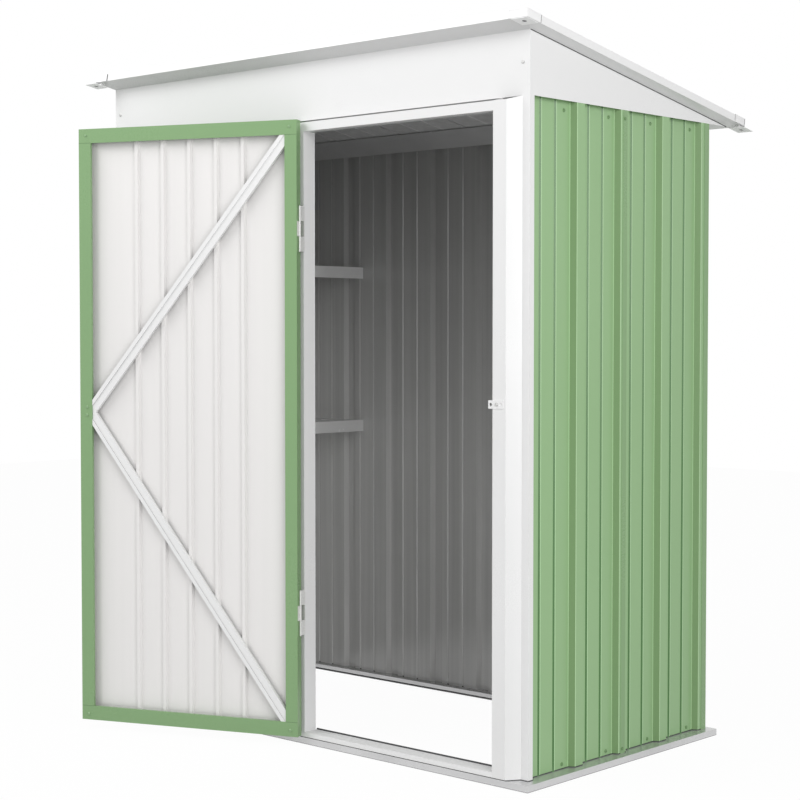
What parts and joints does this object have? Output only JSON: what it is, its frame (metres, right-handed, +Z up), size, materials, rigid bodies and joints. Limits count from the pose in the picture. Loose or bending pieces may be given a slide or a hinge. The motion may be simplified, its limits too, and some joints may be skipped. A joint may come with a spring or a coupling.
{
  "type": "metal storage shed",
  "caption": "Lean-to metal storage shed with ribbed green walls, white trims, a sloping roof, a hinged door with diagonal braces standing open, and shelves inside.",
  "frame": {"origin": "on the ground under the front base rail, in the plane of the corner posts' front face, at the middle of the width", "axes": "+X to the right along the front, +Y from the front to the back, +Z up"},
  "size_m": [1.621, 1.2131, 1.8204],
  "materials": {
    "green_paint": "satin green coating",
    "white_paint": "gloss white coating",
    "galvanised": "bright galvanised",
    "hinge_steel": "plated",
    "handle_black": "black coating"
  },
  "bodies": {
    "shed": {"base_rail_front": "galvanised", "base_rail_back": "galvanised", "base_rail_left": "galvanised", "base_rail_right": "galvanised", "corner_post_left": "white_paint", "corner_post_right": "white_paint", "back_corner_angles": "green_paint", "door_jamb": "white_paint", "door_sill": "white_paint", "door_lintel": "white_paint", "front_panel_outer": "green_paint", "front_panel_inner": "green_paint", "left_panel_front": "green_paint", "left_panel_back": "green_paint", "right_panel_front": "green_paint", "right_panel_back": "green_paint", "back_panel_left": "green_paint", "back_panel_middle": "green_paint", "back_panel_right": "green_paint", "top_rails_across": "galvanised", "top_rails_side": "galvanised", "fascia_front": "white_paint", "fascia_left": "white_paint", "fascia_right": "white_paint", "roof_trim_front": "white_paint", "roof_trim_back": "white_paint", "roof_trims_side": "white_paint", "roof_panel_left": "white_paint", "roof_panel_middle": "white_paint", "roof_panel_right": "white_paint", "roof_corner_plates": "white_paint", "shelf_upper": "galvanised", "shelf_lower": "galvanised", "shelf_brackets": "galvanised", "hinge_frame_leaves": "hinge_steel", "latch_catch": "galvanised"},
    "door": {"door_stile_hinge": "green_paint", "door_stile_lock": "green_paint", "door_rail_top": "green_paint", "door_rail_bottom": "green_paint", "door_panel": "white_paint", "door_brace_upper": "white_paint", "door_brace_lower": "white_paint", "door_handle": "handle_black", "hinge_door_leaves": "hinge_steel"}
  },
  "joints": [
    {"name": "door_hinge", "type": "hinge", "parent": "shed", "child": "door", "pos_m": [0.051, -0.0515, 0.8], "axis": [0, 0, 1], "range_deg": [-15, 158]}
  ]
}
